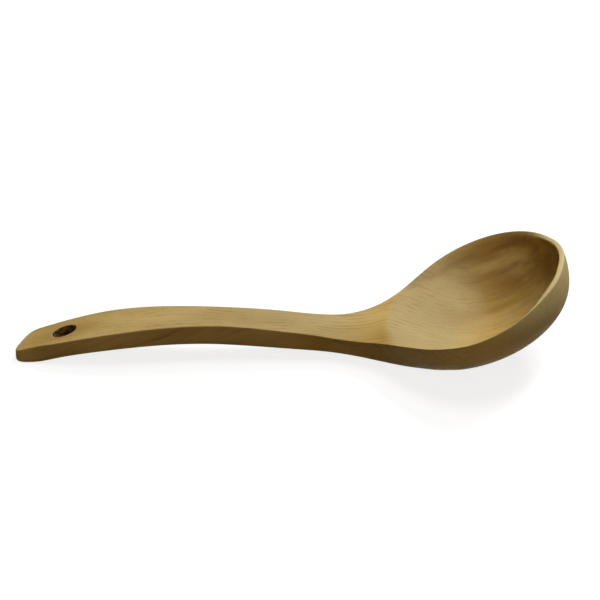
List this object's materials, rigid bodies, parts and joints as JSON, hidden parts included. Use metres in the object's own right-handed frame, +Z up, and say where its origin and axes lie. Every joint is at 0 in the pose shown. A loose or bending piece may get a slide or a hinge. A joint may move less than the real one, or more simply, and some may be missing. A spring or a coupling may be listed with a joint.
{
  "type": "wooden ladle",
  "caption": "Wooden ladle: a round, hollowed bowl on flared shoulders, and an arched, waisted handle with an oval hanging hole near its slanted, rounded end.",
  "frame": {"origin": "on the table, under the middle of the ladle's overall box, with the ladle lying at rest on its bowl and the end of its handle", "axes": "+X along the ladle towards the bowl's tip, +Z up, and the middle of the bowl and handle in the XZ plane"},
  "size_m": [0.294, 0.09, 0.054],
  "materials": {
    "wood": "satin"
  },
  "bodies": {
    "root": {"bowl": "wood", "handle": "wood"}
  },
  "joints": []
}
